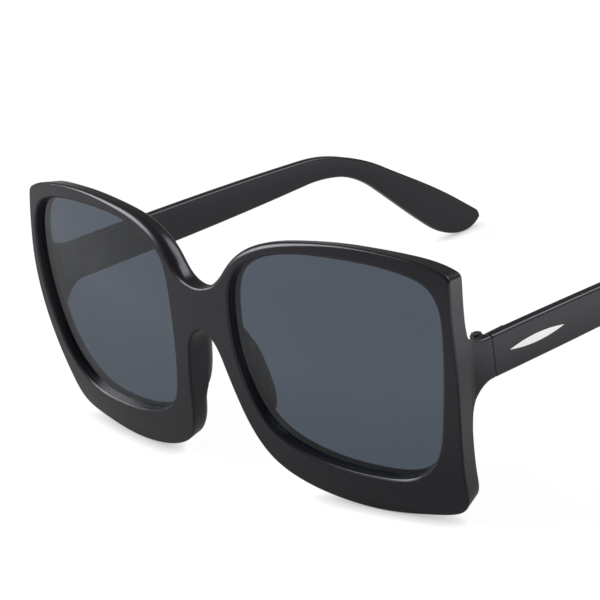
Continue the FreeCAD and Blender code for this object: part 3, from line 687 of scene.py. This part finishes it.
@dataclass
class TempleArm:
    """A temple: a rounded rectangle carried along a path that droops, bends and ends in a paddle."""

    SEAM: ClassVar[tuple[tuple[float, float], ...]] = (
        (0.0, 0.3), (0.0, 0.22), (0.02, 0.12), (0.1, 0.04), (0.25, 0.01), (0.5, 0.0), (1.0, 0.0))

    sizes: TempleSizes
    side: Side
    body_start: float = 2.0
    body_rows: int = 110
    cap_rows: int = 60
    point_rows: int = 24
    corner_rows: int = 7
    tilt_run: float = 4.0
    least: float = 1e-4
    crease: float = 40.0

    def build(self, finish: bpy.types.Material) -> bpy.types.Object:
        """Make the temple and dress it.

        Args:
            finish: material of the temple.

        Returns:
            The temple.
        """
        piece = spun_piece(f"{self.side.word}_smooth_temple", self._grid(), self.crease)
        piece.data.materials.append(finish)
        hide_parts(f"{self.side.word}_temple")
        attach(piece, self.side.arm)
        return piece

    def _path(self, distance: Array) -> tuple[Array, Array, Array]:
        """Centre line: a straight at the droop, an arc down to the bend, a straight at the bend.

        Args:
            distance: (n,) distances along the line.

        Returns:
            Its y and z from the seam, and how far it is turned down.
        """
        sizes = self.sizes
        along = np.minimum(distance, sizes.straight)
        arc = sizes.bend_radius * (sizes.bend - sizes.droop)
        turn = sizes.droop + np.clip(distance - sizes.straight, 0.0, arc) / sizes.bend_radius
        beyond = np.maximum(distance - sizes.straight - arc, 0.0)
        y = along * math.cos(sizes.droop) + beyond * math.cos(sizes.bend)
        y = y + sizes.bend_radius * (np.sin(turn) - math.sin(sizes.droop))
        z = -along * math.sin(sizes.droop) - beyond * math.sin(sizes.bend)
        z = z - sizes.bend_radius * (math.cos(sizes.droop) - np.cos(turn))
        return y, z, turn

    def _half_height(self, distance: Array) -> Array:
        """Half the height: a power taper to the waist, then half a cosine wave up to the paddle.

        Args:
            distance: (n,) distances along the centre line.

        Returns:
            (n,) half heights.
        """
        sizes = self.sizes
        taper = 1 - np.clip(distance / sizes.waist_at, 0.0, 1.0) ** sizes.taper_power
        flare = np.clip((distance - sizes.waist_at) / (sizes.flare_at - sizes.waist_at), 0.0, 1.0)
        height = sizes.waist + (sizes.height - sizes.waist) * taper
        height = height + (sizes.tip_height - sizes.waist) * (1 - np.cos(math.pi * flare)) / 2
        return height / 2

    def _edge(self, distance: Array, sign: float, cap: float) -> Array:
        """Reach of an edge from the centre line: half the height, swept to the tip over the cap.

        Args:
            distance: (n,) distances along the centre line.
            sign: 1 for the top edge and -1 for the lower one.
            cap: length of the sweep, a quarter ellipse.

        Returns:
            (n,) reaches, upwards.
        """
        into = np.clip((distance - (self.sizes.length - cap)) / cap, 0.0, 1.0)
        swept = 1 - np.sqrt(1 - into ** 2)
        return (sign + (self.sizes.tip_point - sign) * swept) * self._half_height(distance)

    def _grid(self) -> Array:
        """Sections along the path, closer together at the seam and round the tip.

        SEAM pairs the first distances with how far the section is drawn in there.

        Returns:
            (around, along, 3) points.
        """
        sizes = self.sizes
        seam = np.array(self.SEAM)
        quarter = math.pi / 2
        body = np.linspace(self.body_start, sizes.length - sizes.cap_low, self.body_rows)
        fan = np.sin(np.linspace(0.0, quarter, self.cap_rows)[1:])
        cap = sizes.length - sizes.cap_low + sizes.cap_low * fan
        point = sizes.length - sizes.cap_top * (1 - np.sin(np.linspace(0.0, quarter, self.point_rows)))
        distance = np.sort(np.concatenate([seam[:, 0], body, cap, point[:-1]]))
        y, z, turn = self._path(distance)
        tilt = turn * np.clip(distance / self.tilt_run, 0.0, 1.0)
        top = self._edge(distance, 1.0, sizes.cap_top)
        low = self._edge(distance, -1.0, sizes.cap_low)
        half = np.maximum((top - low) / 2, self.least)
        middle = (top + low) / 2
        thin = sizes.thickness + (sizes.tip_thickness - sizes.thickness) * distance / sizes.length
        radius = np.minimum(np.minimum(sizes.edge_round, half), thin / 2)
        inset = np.zeros_like(distance)
        inset[: len(seam)] = seam[:, 1]
        across, upward, cosine, sine = rounded_section(self.corner_rows)
        wide = thin / 2 - inset
        tall = np.maximum(half - inset, self.least)
        x = across[:, None] * (wide - radius) + cosine[:, None] * radius
        x = x + (sizes.outer - thin / 2)
        up = upward[:, None] * (tall - radius) + sine[:, None] * radius + middle
        return np.stack([
            x * self.side.value,
            sizes.seam + sizes.seam_gap + y + up * np.sin(tilt),
            sizes.level + z + up * np.cos(tilt),
        ], axis=-1)


@dataclass
class Endpiece:
    """Lug that runs out of the temporal rim: a rounded rectangle carried back, flared into the rim."""

    ROOT: ClassVar[tuple[float, float]] = (-1.2, -0.4)
    SEAM: ClassVar[tuple[tuple[float, float], ...]] = (
        (-0.3, 0.0), (-0.1, 0.01), (-0.03, 0.06), (0.0, 0.14), (0.0, 0.3))

    sizes: TempleSizes
    outlines: Outlines
    face: CurvedFace
    side: Side
    buried: float = 0.12
    slant_end: float = 1.2
    fillet_reach: float = 6.4
    fillet_top: float = 2.6
    fillet_low: float = 7.6
    rim_slant: float = 0.253
    root_round: float = 0.05
    round_run: tuple[float, float] = (0.1, 0.9)
    inner_plain: float = 0.8
    fillet_rows: int = 34
    corner_rows: int = 7
    crease: float = 40.0

    def build(self, finish: bpy.types.Material) -> bpy.types.Object:
        """Make the endpiece and dress it.

        Args:
            finish: material of the front.

        Returns:
            The endpiece.
        """
        piece = spun_piece(f"{self.side.word}_endpiece", self._grid(), self.crease)
        piece.data.materials.append(finish)
        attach(piece, "front")
        return piece

    def _flare(self, share: Array, rise: float) -> Array:
        """Rise of a quarter-ellipse fillet: whole at the rim's back, nothing at the end of its reach."""
        return rise * (1 - np.sqrt(np.clip(1 - (1 - share) ** 2, 0.0, 1.0)))

    def _wall(self, z: Array, behind: Array) -> Array:
        """Outer face of the rim's side wall, carried on behind the rim's back at its own slant.

        Args:
            z: (around, along) heights.
            behind: (along,) distances behind the rim's back.

        Returns:
            (around, along) x.
        """
        place = self.outlines.temporal_at(z.ravel())
        depth = self.outlines.sizes.thickness + np.broadcast_to(behind, z.shape).ravel()
        return self.face.at(place, depth)[:, 0].reshape(z.shape)

    def _grid(self) -> Array:
        """Sections from inside the rim back to the seam.

        The outer face starts as the rim's side wall and eases over to the temple's outer face, and
        the first sections lean with the rim's back. SEAM pairs the last distances with how far the
        section is drawn in there.

        Returns:
            (around, along, 3) points.
        """
        sizes = self.sizes
        back = -(sizes.endpiece_length - self.outlines.sizes.thickness)
        reach = np.linspace(0.0, 1.0, self.fillet_rows) ** 2
        seam = np.array(self.SEAM)
        y = np.concatenate([back + np.array(self.ROOT), back + self.fillet_reach * reach, seam[:, 0]])
        inset = np.zeros_like(y)
        inset[-len(seam):] = seam[:, 1]
        share = np.clip((y - back) / self.fillet_reach, 0.0, 1.0)
        top = sizes.height / 2 + self._flare(share, self.fillet_top) - inset
        low = sizes.height / 2 + self._flare(share, self.fillet_low) - inset
        half = (top + low) / 2
        wide = np.full_like(y, sizes.thickness / 2) - inset
        radius = between(self.root_round, sizes.edge_round, eased(share, *self.round_run))
        across, upward, cosine, sine = rounded_section(self.corner_rows)
        x = across[:, None] * (wide - radius) + cosine[:, None] * radius
        up = upward[:, None] * (half - radius) + sine[:, None] * radius + (top - low) / 2
        outside = eased(x, 0.0, sizes.thickness / 2 - self.inner_plain)
        x = x + (sizes.outer - sizes.thickness / 2)
        z = sizes.level + up
        wall = self._wall(z, np.clip(y - back, 0.0, self.slant_end)) - self.buried * (y < back)
        rooted = 1 - eased(share, 0.0, 1.0)
        x = x + (wall - sizes.outer) * outside * rooted
        y = y + self.rim_slant * np.minimum(x - wall, 0.0) * rooted
        return np.stack([x * self.side.value, sizes.seam + y, z], axis=-1)


@dataclass
class SmokeLens:
    """A tinted lens: two surfaces that follow the front's own curve, held in the rim all round."""

    sizes: FrontSizes
    outlines: Outlines
    face: CurvedFace
    side: Side
    setback: float = 1.5
    thickness: float = 1.8
    in_groove: float = 0.9
    around: int = 220
    rings: int = 22
    ring_shares: tuple[float, float] = (0.04, 0.96)
    rim_shares: tuple[float, float] = (0.99, 1.0)
    crease: float = 30.0

    def build(self, finish: bpy.types.Material) -> bpy.types.Object:
        """Make the lens and dress it.

        Args:
            finish: material of the lens.

        Returns:
            The lens.
        """
        piece = spun_piece(f"{self.side.word}_smoke_lens", self._grid(), self.crease)
        piece.data.materials.append(finish)
        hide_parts(f"{self.side.word}_lens")
        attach(piece, "front")
        return piece

    def _grid(self) -> Array:
        """Rings from the middle of the front over the rim to the middle of the back.

        A ring is the opening's outline, grown into the groove and shrunk towards its middle; the
        front and back stand at their own depths behind the face.

        Returns:
            (around, along, 3) points.
        """
        angle = np.linspace(-math.pi, math.pi, self.around, endpoint=False)
        rim = self.outlines.opening_at(angle, self.in_groove)
        middle = self.sizes.centre
        share = np.concatenate([np.linspace(*self.ring_shares, self.rings), self.rim_shares])
        place = middle + (rim - middle)[:, None, :] * share[None, :, None]
        shape = (*place.shape[:2], 3)
        near = self.face.at(place.reshape(-1, 2), self.setback).reshape(shape)
        far = self.face.at(place.reshape(-1, 2), self.setback + self.thickness).reshape(shape)
        grid = np.concatenate([near, far[:, ::-1]], axis=1)
        return grid * [self.side.value, 1.0, 1.0]


@dataclass
class NosePad:
    """A glued pad: a low dome on an oval foot that follows the back of the rim."""

    outlines: Outlines
    face: CurvedFace
    side: Side
    length: float = 22.0
    width: float = 7.0
    projection: float = 3.3
    height: float = 29.2
    least_gap: float = 4.0
    foot: float = 0.4
    foot_shares: tuple[float, float] = (0.96, 0.5)
    dome_power: float = 2.4
    oval_power: float = 0.85
    first_ring: float = 0.03
    rings: int = 26
    around: int = 96
    crease: float = 50.0

    def build(self, finish: bpy.types.Material) -> bpy.types.Object:
        """Make the pad and dress it.

        Args:
            finish: material of the pad.

        Returns:
            The pad.
        """
        piece = spun_piece(f"{self.side.word}_soft_pad", self._grid(), self.crease)
        piece.data.materials.append(finish)
        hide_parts(f"{self.side.word}_nose_pad")
        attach(piece, "front")
        return piece

    def _grid(self) -> Array:
        """Dome over an oval: height falls as a superellipse of the share out to the rim.

        The oval is shifted sideways at each height, so its nose side follows the rim's own edge.

        Returns:
            (around, along, 3) points.
        """
        angle = np.linspace(0.0, 2 * math.pi, self.around, endpoint=False)
        share = np.sin(np.linspace(self.first_ring, 1.0, self.rings) * math.pi / 2)
        rise = self.projection * np.sqrt(1 - share ** self.dome_power)
        share = np.append(share, self.foot_shares)
        rise = np.append(rise, [-self.foot, -self.foot])
        cosine, sine = np.cos(angle), np.sin(angle)
        along = np.sign(sine) * np.abs(sine) ** self.oval_power * self.length / 2
        across = np.sign(cosine) * np.abs(cosine) ** self.oval_power * self.width / 2
        z = self.height + along[:, None] * share
        edge = np.maximum(self.outlines.nose_at(z), self.least_gap)
        x = edge + self.width / 2 + across[:, None] * share
        place = np.stack([x.ravel(), z.ravel()], axis=1)
        depth = np.broadcast_to(self.outlines.sizes.thickness + rise, x.shape).ravel()
        grid = self.face.at(place, depth).reshape(*x.shape, 3)
        return grid * [self.side.value, 1.0, 1.0]


def shader_node(tree: bpy.types.NodeTree, kind: str, inputs: dict[str | int, Value] | None = None,
                operation: str | None = None) -> bpy.types.Node:
    """Add a shader node, and link or set its inputs.

    Args:
        tree: tree that gets the node.
        kind: type of the node, without the word that all types start with.
        inputs: for an input's name or number, the socket to link or the value to set.
        operation: what a math node does.

    Returns:
        The node.
    """
    node = tree.nodes.new(f"ShaderNode{kind}")
    if operation is not None:
        node.operation = operation
    for key, value in (inputs or {}).items():
        if isinstance(value, bpy.types.NodeSocket):
            tree.links.new(value, node.inputs[key])
        else:
            node.inputs[key].default_value = value
    return node


def math_value(tree: bpy.types.NodeTree, operation: str, *terms: Value) -> bpy.types.NodeSocket:
    """Add a math node over sockets and numbers.

    Args:
        tree: tree that gets the node.
        operation: what the node does.
        terms: its inputs in order.

    Returns:
        The node's value.
    """
    return shader_node(tree, "Math", dict(enumerate(terms)), operation).outputs["Value"]


def mapped_value(tree: bpy.types.NodeTree, value: Value, reach: tuple[float, float],
                 levels: tuple[float, float], interpolation: str = "LINEAR") -> bpy.types.NodeSocket:
    """Add a node that carries a value from its reach over to levels.

    Args:
        tree: tree that gets the node.
        value: the value.
        reach: its two ends.
        levels: what it becomes at each end and beyond.
        interpolation: how it goes from one to the other.

    Returns:
        The new value.
    """
    node = shader_node(tree, "MapRange", {
        "Value": value, "From Min": reach[0], "From Max": reach[1],
        "To Min": levels[0], "To Max": levels[1]})
    node.interpolation_type = interpolation
    return node.outputs["Result"]


class SurfaceMarks:
    """Shared effect: cloudy tone, fine grain and hairline marks over a surface."""

    NAME = "surface_marks"
    INPUTS = (
        ("Cloud Scale", 60.0), ("Grain Scale", 2600.0), ("Hairline Scale", 240.0),
        ("Roughness", 0.3), ("Spread", 0.05), ("Hairlines", 0.3))
    OUTPUTS = ("Tone", "Roughness", "Height")
    CLOUD_DETAIL = 3.0
    GRAIN_DETAIL = 2.0
    HAIR_DETAIL = 5.0
    HAIR_ROUGHNESS = 0.65
    HAIR_TURN = (0.3, 0.2, 0.6)
    HAIR_STRETCH = (1.0, 0.06, 1.0)
    HAIR_EDGE = 0.66

    @classmethod
    def group(cls) -> bpy.types.NodeTree:
        """Node group with a tone mask, a roughness and a bump height, built once.

        Returns:
            The group.
        """
        if cls.NAME in bpy.data.node_groups:
            return bpy.data.node_groups[cls.NAME]
        tree = bpy.data.node_groups.new(cls.NAME, "ShaderNodeTree")
        for name, value in cls.INPUTS:
            socket = tree.interface.new_socket(name, in_out="INPUT", socket_type="NodeSocketFloat")
            socket.default_value = value
        for name in cls.OUTPUTS:
            tree.interface.new_socket(name, in_out="OUTPUT", socket_type="NodeSocketFloat")
        given = tree.nodes.new("NodeGroupInput").outputs
        result = tree.nodes.new("NodeGroupOutput").inputs
        place = shader_node(tree, "TexCoord").outputs["Object"]
        stretched = shader_node(tree, "Mapping", {
            "Vector": place, "Rotation": cls.HAIR_TURN, "Scale": cls.HAIR_STRETCH}).outputs["Vector"]
        cloud = shader_node(tree, "TexNoise", {
            "Vector": place, "Scale": given["Cloud Scale"], "Detail": cls.CLOUD_DETAIL}).outputs["Fac"]
        grain = shader_node(tree, "TexNoise", {
            "Vector": place, "Scale": given["Grain Scale"], "Detail": cls.GRAIN_DETAIL}).outputs["Fac"]
        hair = shader_node(tree, "TexNoise", {
            "Vector": stretched, "Scale": given["Hairline Scale"], "Detail": cls.HAIR_DETAIL,
            "Roughness": cls.HAIR_ROUGHNESS}).outputs["Fac"]
        thin = math_value(tree, "GREATER_THAN", hair, cls.HAIR_EDGE)
        lines = math_value(tree, "MULTIPLY", thin, given["Hairlines"])
        centred = math_value(tree, "SUBTRACT", math_value(tree, "ADD", cloud, grain), 1.0)
        rough = math_value(tree, "MULTIPLY_ADD", centred, given["Spread"], given["Roughness"])
        worn = math_value(tree, "MULTIPLY_ADD", lines, given["Spread"], rough)
        height = math_value(tree, "SUBTRACT", grain, lines)
        for name, value in zip(cls.OUTPUTS, (cloud, worn, height)):
            tree.links.new(value, result[name])
        return tree


@dataclass(frozen=True)
class Finish:
    """A finish: two tones that the marks blend, its gloss, and how deep its marks go."""

    name: str
    dark: tuple[float, float, float]
    light: tuple[float, float, float]
    roughness: float
    spread: float
    hairlines: float = 0.3
    metallic: float = 0.0
    transmission: float = 0.0
    specular: float = 0.5
    specular_tint: tuple[float, float, float] = (1.0, 1.0, 1.0)
    bump: float = 4e-6
    bump_strength: float = 0.4
    cloud_scale: float = 60.0
    grain_scale: float = 2600.0
    hairline_scale: float = 240.0

    def material(self) -> bpy.types.Material:
        """Build the material.

        Returns:
            The material.
        """
        made = bpy.data.materials.new(self.name)
        made.use_nodes = True
        tree = made.node_tree
        marks = shader_node(tree, "Group")
        marks.node_tree = SurfaceMarks.group()
        values = (
            self.cloud_scale, self.grain_scale, self.hairline_scale,
            self.roughness, self.spread, self.hairlines)
        for (name, _), value in zip(SurfaceMarks.INPUTS, values):
            marks.inputs[name].default_value = value
        tones = shader_node(tree, "Mix")
        tones.data_type = "RGBA"
        tones.inputs["A"].default_value = (*self.dark, 1.0)
        tones.inputs["B"].default_value = (*self.light, 1.0)
        tree.links.new(marks.outputs["Tone"], tones.inputs["Factor"])
        bump = shader_node(tree, "Bump", {
            "Strength": self.bump_strength, "Distance": self.bump, "Height": marks.outputs["Height"]})
        shader = tree.nodes["Principled BSDF"].inputs
        tree.links.new(tones.outputs["Result"], shader["Base Color"])
        tree.links.new(marks.outputs["Roughness"], shader["Roughness"])
        tree.links.new(bump.outputs["Normal"], shader["Normal"])
        shader["Metallic"].default_value = self.metallic
        shader["Transmission Weight"].default_value = self.transmission
        shader["Specular IOR Level"].default_value = self.specular
        shader["Specular Tint"].default_value = (*self.specular_tint, 1.0)
        return made


BLACK_ACETATE = Finish(
    "black_acetate", (0.0075, 0.0073, 0.0088), (0.0120, 0.0117, 0.0138), roughness=0.29, spread=0.05,
    specular=0.52, specular_tint=(0.90, 0.89, 1.0))
PAD_ACETATE = Finish(
    "pad_acetate", (0.010, 0.010, 0.011), (0.016, 0.016, 0.018), roughness=0.30, spread=0.06,
    specular=0.52, specular_tint=(0.90, 0.89, 1.0))
SMOKE_GLASS = Finish(
    "smoke_glass", (0.058, 0.074, 0.098), (0.063, 0.080, 0.105), roughness=0.02, spread=0.01,
    hairlines=0.1, transmission=1.0, specular=0.46, bump=4e-7)
HINGE_STEEL = Finish(
    "hinge_steel", (0.14, 0.14, 0.15), (0.20, 0.20, 0.21), roughness=0.34, spread=0.12,
    hairlines=0.6, metallic=1.0, cloud_scale=400.0, hairline_scale=1400.0)
SCREW_STEEL = Finish(
    "screw_steel", (0.30, 0.30, 0.31), (0.42, 0.42, 0.43), roughness=0.28, spread=0.10,
    hairlines=0.5, metallic=1.0, cloud_scale=500.0, hairline_scale=1800.0)
CORE_WIRE = Finish(
    "core_wire", (0.40, 0.40, 0.40), (0.52, 0.52, 0.52), roughness=0.42, spread=0.12,
    hairlines=0.6, metallic=1.0, cloud_scale=300.0, hairline_scale=1200.0)
INLAY_SILVER = Finish(
    "inlay_silver", (0.76, 0.76, 0.76), (0.84, 0.84, 0.84), roughness=0.16, spread=0.06,
    hairlines=0.4, metallic=1.0, cloud_scale=300.0, hairline_scale=1600.0)


@dataclass
class Hardware:
    """The metal pieces that keep their own solids: hinges, rivets, screws, cores and inlays."""

    side: Side

    def dress(self, finishes: dict[str, bpy.types.Material]) -> None:
        """Give each node its finish.

        Args:
            finishes: material for each word that ends a node's name.
        """
        for word, finish in finishes.items():
            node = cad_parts[f"{self.side.word}_{word}"]
            node.data.materials.clear()
            node.data.materials.append(finish)
            log.info("%s: %s", node.name, finish.name)


@dataclass(frozen=True)
class Softbox:
    """Rectangular soft lamp: where it stands and what it faces in metres, its sides and its watts."""

    name: str
    place: tuple[float, float, float]
    aim: tuple[float, float, float]
    sides: tuple[float, float]
    power: float

    def build(self) -> None:
        """Set up the lamp."""
        lamp = bpy.data.lights.new(self.name, "AREA")
        lamp.shape = "RECTANGLE"
        lamp.size, lamp.size_y = self.sides
        lamp.energy = self.power
        stand = bpy.data.objects.new(self.name, lamp)
        stand.location = self.place
        away = Vector(self.place) - Vector(self.aim)
        stand.rotation_euler = away.to_track_quat("Z", "Y").to_euler()
        bpy.context.scene.collection.objects.link(stand)


@dataclass(frozen=True)
class ProductCamera:
    """Long lens from the wearer's left and above, a little rolled, framed as in the photograph.

    Lengths are in metres and angles in radians; the focal length and the shifts are in pixels of
    an image that is as wide as the picture field.
    """

    azimuth: float = math.radians(48.678)
    elevation: float = math.radians(20.469)
    roll: float = math.radians(-8.080)
    target: tuple[float, float, float] = (0.0, -0.043498, 0.030)
    distance: float = 0.651741
    focal: float = 2716.258
    shift: tuple[float, float] = (-24.102, 12.698)
    picture: float = 600.0
    sensor: float = 36.0
    clip: float = 0.01

    def build(self) -> None:
        """Set up the camera and make it the scene's own."""
        back = Vector((
            math.sin(self.azimuth) * math.cos(self.elevation),
            -math.cos(self.azimuth) * math.cos(self.elevation), math.sin(self.elevation)))
        level = Vector((math.cos(self.azimuth), math.sin(self.azimuth), 0.0))
        upright = back.cross(level)
        right = level * math.cos(self.roll) + upright * math.sin(self.roll)
        up = upright * math.cos(self.roll) - level * math.sin(self.roll)
        lens = bpy.data.cameras.new("product_camera")
        lens.sensor_fit = "HORIZONTAL"
        lens.sensor_width = self.sensor
        lens.lens = self.sensor * self.focal / self.picture
        lens.shift_x = self.shift[0] / self.picture
        lens.shift_y = self.shift[1] / self.picture
        lens.clip_start = self.clip
        camera = bpy.data.objects.new("product_camera", lens)
        turned = Matrix((right, up, back)).transposed().to_4x4()
        turned.translation = Vector(self.target) + back * self.distance
        camera.matrix_world = turned
        bpy.context.scene.collection.objects.link(camera)
        bpy.context.scene.camera = camera


@dataclass
class Studio:
    """White floor, soft lamps and the camera at the photograph's angle."""

    SOFTBOXES: ClassVar[tuple[Softbox, ...]] = (
        Softbox("right_softbox", (-0.70, -0.50, 0.58), (0.0, -0.04, 0.03), (0.7, 0.7), 12.5),
        Softbox("back_softbox", (0.34, 0.64, 0.72), (0.0, -0.02, 0.03), (0.6, 0.6), 5.0),
    )

    white: float = 0.86
    floor_half: float = 3.0
    glow_share: float = 0.92
    # Painted reflection glow: in reflections only, the floor glows brighter to one side and dimmer near
    # the front.
    painted_glow_side: tuple[float, float, float] = (0.90, 0.43, 0.0)
    painted_glow_reach: tuple[float, float] = (0.06, 0.18)
    painted_glow_levels: tuple[float, float] = (0.19, 1.40)
    painted_shade_plane: tuple[float, float, float] = (0.0, -0.078, 0.0)
    painted_shade_reach: float = 0.055
    painted_shade_levels: tuple[float, float] = (0.20, 0.50)
    # Painted contact shadow: occlusion close to the object darkens the floor's glow.
    painted_shadow_reach: float = 0.0032
    painted_shadow_levels: tuple[float, float] = (0.40, 1.03)
    painted_shadow_samples: int = 16
    world_diffuse: float = 0.30
    world_gloss: float = 0.12

    def build(self) -> None:
        """Set up the whole studio."""
        self._floor()
        self._world()
        for softbox in self.SOFTBOXES:
            softbox.build()
        ProductCamera().build()
        bpy.context.scene.view_settings.view_transform = "Standard"

    def _floor(self) -> None:
        """Wide pale plane, white to the camera and through the lenses, apart from a painted contact
        shadow: an occlusion term darkens its glow next to the object, also in reflections.
        """
        half = self.floor_half
        mesh = bpy.data.meshes.new("studio_floor")
        mesh.from_pydata(
            [(-half, -half, 0), (half, -half, 0), (half, half, 0), (-half, half, 0)], [], [(0, 1, 2, 3)])
        floor = bpy.data.objects.new("studio_floor", mesh)
        bpy.context.scene.collection.objects.link(floor)
        paint = bpy.data.materials.new("floor_white_painted_shade_and_glow")
        paint.use_nodes = True
        tree = paint.node_tree
        tree.nodes.remove(tree.nodes["Principled BSDF"])
        ray = shader_node(tree, "LightPath").outputs
        seen = math_value(tree, "MAXIMUM", ray["Is Camera Ray"], ray["Is Transmission Ray"])
        lit = math_value(tree, "MAXIMUM", seen, ray["Is Glossy Ray"])
        # Painted reflection light and shade: glossy rays see the floor's graded glow.
        level = math_value(tree, "MAXIMUM", seen, self._painted_reflection_glow(tree))
        # Painted contact shadow: ambient occlusion dims the glow close to the object, for the camera, the
        # lenses and reflections alike.
        painted_shadow_occlusion = shader_node(tree, "AmbientOcclusion", {"Distance": self.painted_shadow_reach})
        painted_shadow_occlusion.samples = self.painted_shadow_samples
        painted_shadow = mapped_value(tree, painted_shadow_occlusion.outputs["AO"], (0.0, 1.0), self.painted_shadow_levels)
        matte = shader_node(tree, "BsdfDiffuse", {"Color": (self.white, self.white, self.white, 1.0)})
        glow = shader_node(tree, "Emission", {"Strength": math_value(tree, "MULTIPLY", level, painted_shadow)})
        # Most of the floor is glow, so its shade there is painted; only the small diffuse share takes real
        # shadow.
        mix = shader_node(tree, "MixShader", {
            "Fac": math_value(tree, "MULTIPLY", lit, self.glow_share),
            1: matte.outputs["BSDF"], 2: glow.outputs["Emission"]})
        tree.links.new(mix.outputs["Shader"], tree.nodes["Material Output"].inputs["Surface"])
        mesh.materials.append(paint)

    def _painted_reflection_glow(self, tree: bpy.types.NodeTree) -> bpy.types.NodeSocket:
        """Painted reflection glow of the floor, seen only in reflections: painted shade dim under the
        front, painted light brighter far from it and to one side.

        Args:
            tree: the floor's node tree.

        Returns:
            The glow's strength.
        """
        place = shader_node(tree, "TexCoord").outputs["Object"]
        towards = shader_node(tree, "VectorMath", {0: place, 1: self.painted_glow_side}, "DOT_PRODUCT")
        painted_glow = mapped_value(
            tree, towards.outputs["Value"], self.painted_glow_reach, self.painted_glow_levels, "SMOOTHSTEP")
        along = shader_node(tree, "VectorMath", {0: place, 1: (0.0, 1.0, 0.0)}, "MULTIPLY")
        away = shader_node(
            tree, "VectorMath", {0: along.outputs["Vector"], 1: self.painted_shade_plane}, "DISTANCE")
        painted_shade_pool = mapped_value(tree, away.outputs["Value"], (0.0, self.painted_shade_reach), self.painted_shade_levels)
        return math_value(tree, "MAXIMUM", painted_glow, painted_shade_pool)

    def _world(self) -> None:
        """Soft even light, dimmer in reflections, and plain white where the camera sees past the floor."""
        world = bpy.data.worlds.new("studio_world")
        bpy.context.scene.world = world
        world.use_nodes = True
        tree = world.node_tree
        ray = shader_node(tree, "LightPath").outputs
        seen = math_value(tree, "MAXIMUM", ray["Is Camera Ray"], ray["Is Transmission Ray"])
        level = mapped_value(
            tree, ray["Is Glossy Ray"], (0.0, 1.0), (self.world_diffuse, self.world_gloss))
        backdrop = tree.nodes["Background"].inputs
        backdrop["Color"].default_value = (1.0, 1.0, 1.0, 1.0)
        tree.links.new(math_value(tree, "MAXIMUM", seen, level), backdrop["Strength"])


def main() -> None:
    """Build the pieces in order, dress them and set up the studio."""
    logging.basicConfig(level=logging.INFO, format="%(name)s: %(message)s")
    face = CurvedFace()
    front_sizes = FrontSizes()
    temple_sizes = TempleSizes()
    outlines = Outlines(front_sizes)
    black = BLACK_ACETATE.material()
    pad = PAD_ACETATE.material()
    smoke = SMOKE_GLASS.material()
    steel = HINGE_STEEL.material()
    metals = {
        "front_hinge": steel, "temple_hinge": steel, "front_rivets": steel, "temple_rivets": steel,
        "hinge_screw": SCREW_STEEL.material(), "temple_core": CORE_WIRE.material(),
        "temple_inlay": INLAY_SILVER.material(),
    }
    FrontFrame(front_sizes, outlines, face).build(black)
    for side in Side:
        Endpiece(temple_sizes, outlines, face, side).build(black)
        TempleArm(temple_sizes, side).build(black)
        SmokeLens(front_sizes, outlines, face, side).build(smoke)
        NosePad(outlines, face, side).build(pad)
        Hardware(side).dress(metals)
    Studio().build()


if __name__ == "__main__":
    main()
